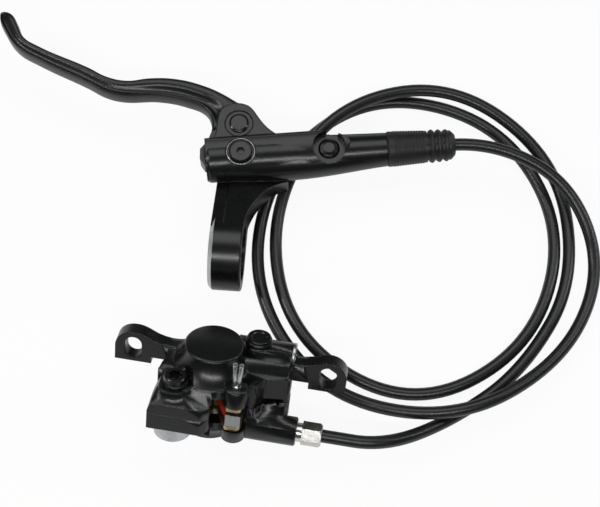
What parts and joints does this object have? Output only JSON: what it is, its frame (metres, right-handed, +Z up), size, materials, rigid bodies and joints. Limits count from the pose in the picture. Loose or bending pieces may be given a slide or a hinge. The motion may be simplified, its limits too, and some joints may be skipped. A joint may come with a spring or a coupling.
{
  "type": "hydraulic disc brake",
  "caption": "Bicycle hydraulic disc brake: handlebar lever with master cylinder, looped hose and two-piston caliper with mounting ears.",
  "frame": {"origin": "on the bench under the middle of the brake's own footprint, hose apart", "axes": "+Z up from the bench; the handlebar clamp's axis runs along X to within 4 degrees; +Y from the caliper towards the lever"},
  "size_m": [0.2469, 0.1851, 0.0482],
  "materials": {
    "painted_body": "satin black paint",
    "painted_lever": "satin black anodising",
    "painted_caliper": "satin black paint",
    "bush_polymer": "moulded",
    "black_steel": "black oxide",
    "steel": "plain",
    "piston_alloy": "turned",
    "rubber_seal": "smooth",
    "spring_steel": "plain",
    "black_plastic": "gloss",
    "brass_fitting": "turned",
    "nickel_nut": "nickel plated",
    "boot_rubber": "moulded",
    "hose_cover": "satin",
    "ceramic": "ground",
    "brass_plate": "zinc plated",
    "lining": "pressed resin",
    "red_plastic": "moulded"
  },
  "bodies": {
    "brake_body": {"master_body": "painted_body", "pivot_pin": "black_steel", "pivot_clip": "black_steel", "snap_ring": "spring_steel", "return_spring": "spring_steel", "bleed_screw": "black_steel", "reservoir_plug": "black_plastic", "clamp_bolt": "black_steel", "lever_insert": "brass_fitting", "lever_olive": "brass_fitting", "lever_flare_nut": "nickel_nut", "hose_boot": "boot_rubber", "hose": "hose_cover", "caliper_outer_half": "painted_caliper", "caliper_inner_half": "painted_caliper", "body_bolts": "black_steel", "piston_seal_outer": "rubber_seal", "piston_seal_inner": "rubber_seal", "pad_spacer": "red_plastic", "pad_spring": "spring_steel", "split_pin": "steel", "caliper_bleed_screw": "steel", "bleed_port_cap": "boot_rubber", "passage_plug": "steel", "caliper_insert": "brass_fitting", "caliper_olive": "brass_fitting", "caliper_flare_nut": "nickel_nut"},
    "lever": {"lever_blade": "painted_lever", "pivot_bushes": "bush_polymer"},
    "piston_set": {"push_rod": "steel", "master_piston": "piston_alloy", "secondary_seal": "rubber_seal", "primary_seal": "rubber_seal"},
    "outer_pad": {"piston_outer": "ceramic", "pad_plate_outer": "brass_plate", "pad_lining_outer": "lining"},
    "inner_pad": {"piston_inner": "ceramic", "pad_plate_inner": "brass_plate", "pad_lining_inner": "lining"}
  },
  "joints": [
    {"name": "lever_pivot", "type": "hinge", "parent": "brake_body", "child": "lever", "pos_m": [0.0072, 0.03745, 0.019], "axis": [0, 0, 1], "range_deg": [0, 14], "stiffness_Nm_per_rad": 0.4, "springref_deg": -5.73},
    {"name": "master_slide", "type": "slide", "parent": "brake_body", "child": "piston_set", "axis": [0.9971, 0.0767, 0], "range_m": [0, 0.0032]},
    {"name": "outer_pad_slide", "type": "slide", "parent": "brake_body", "child": "outer_pad", "axis": [-0.0947, -0.5657, -0.8192], "range_m": [0, 0.0003]},
    {"name": "inner_pad_slide", "type": "slide", "parent": "brake_body", "child": "inner_pad", "axis": [0.0947, 0.5657, 0.8192], "range_m": [0, 0.0003]}
  ],
  "couplings": [
    {"joint": "master_slide", "follows": "lever_pivot", "m_per_rad": 0.0127},
    {"joint": "outer_pad_slide", "follows": "lever_pivot", "m_per_rad": 0.0012},
    {"joint": "inner_pad_slide", "follows": "lever_pivot", "m_per_rad": 0.0012}
  ]
}
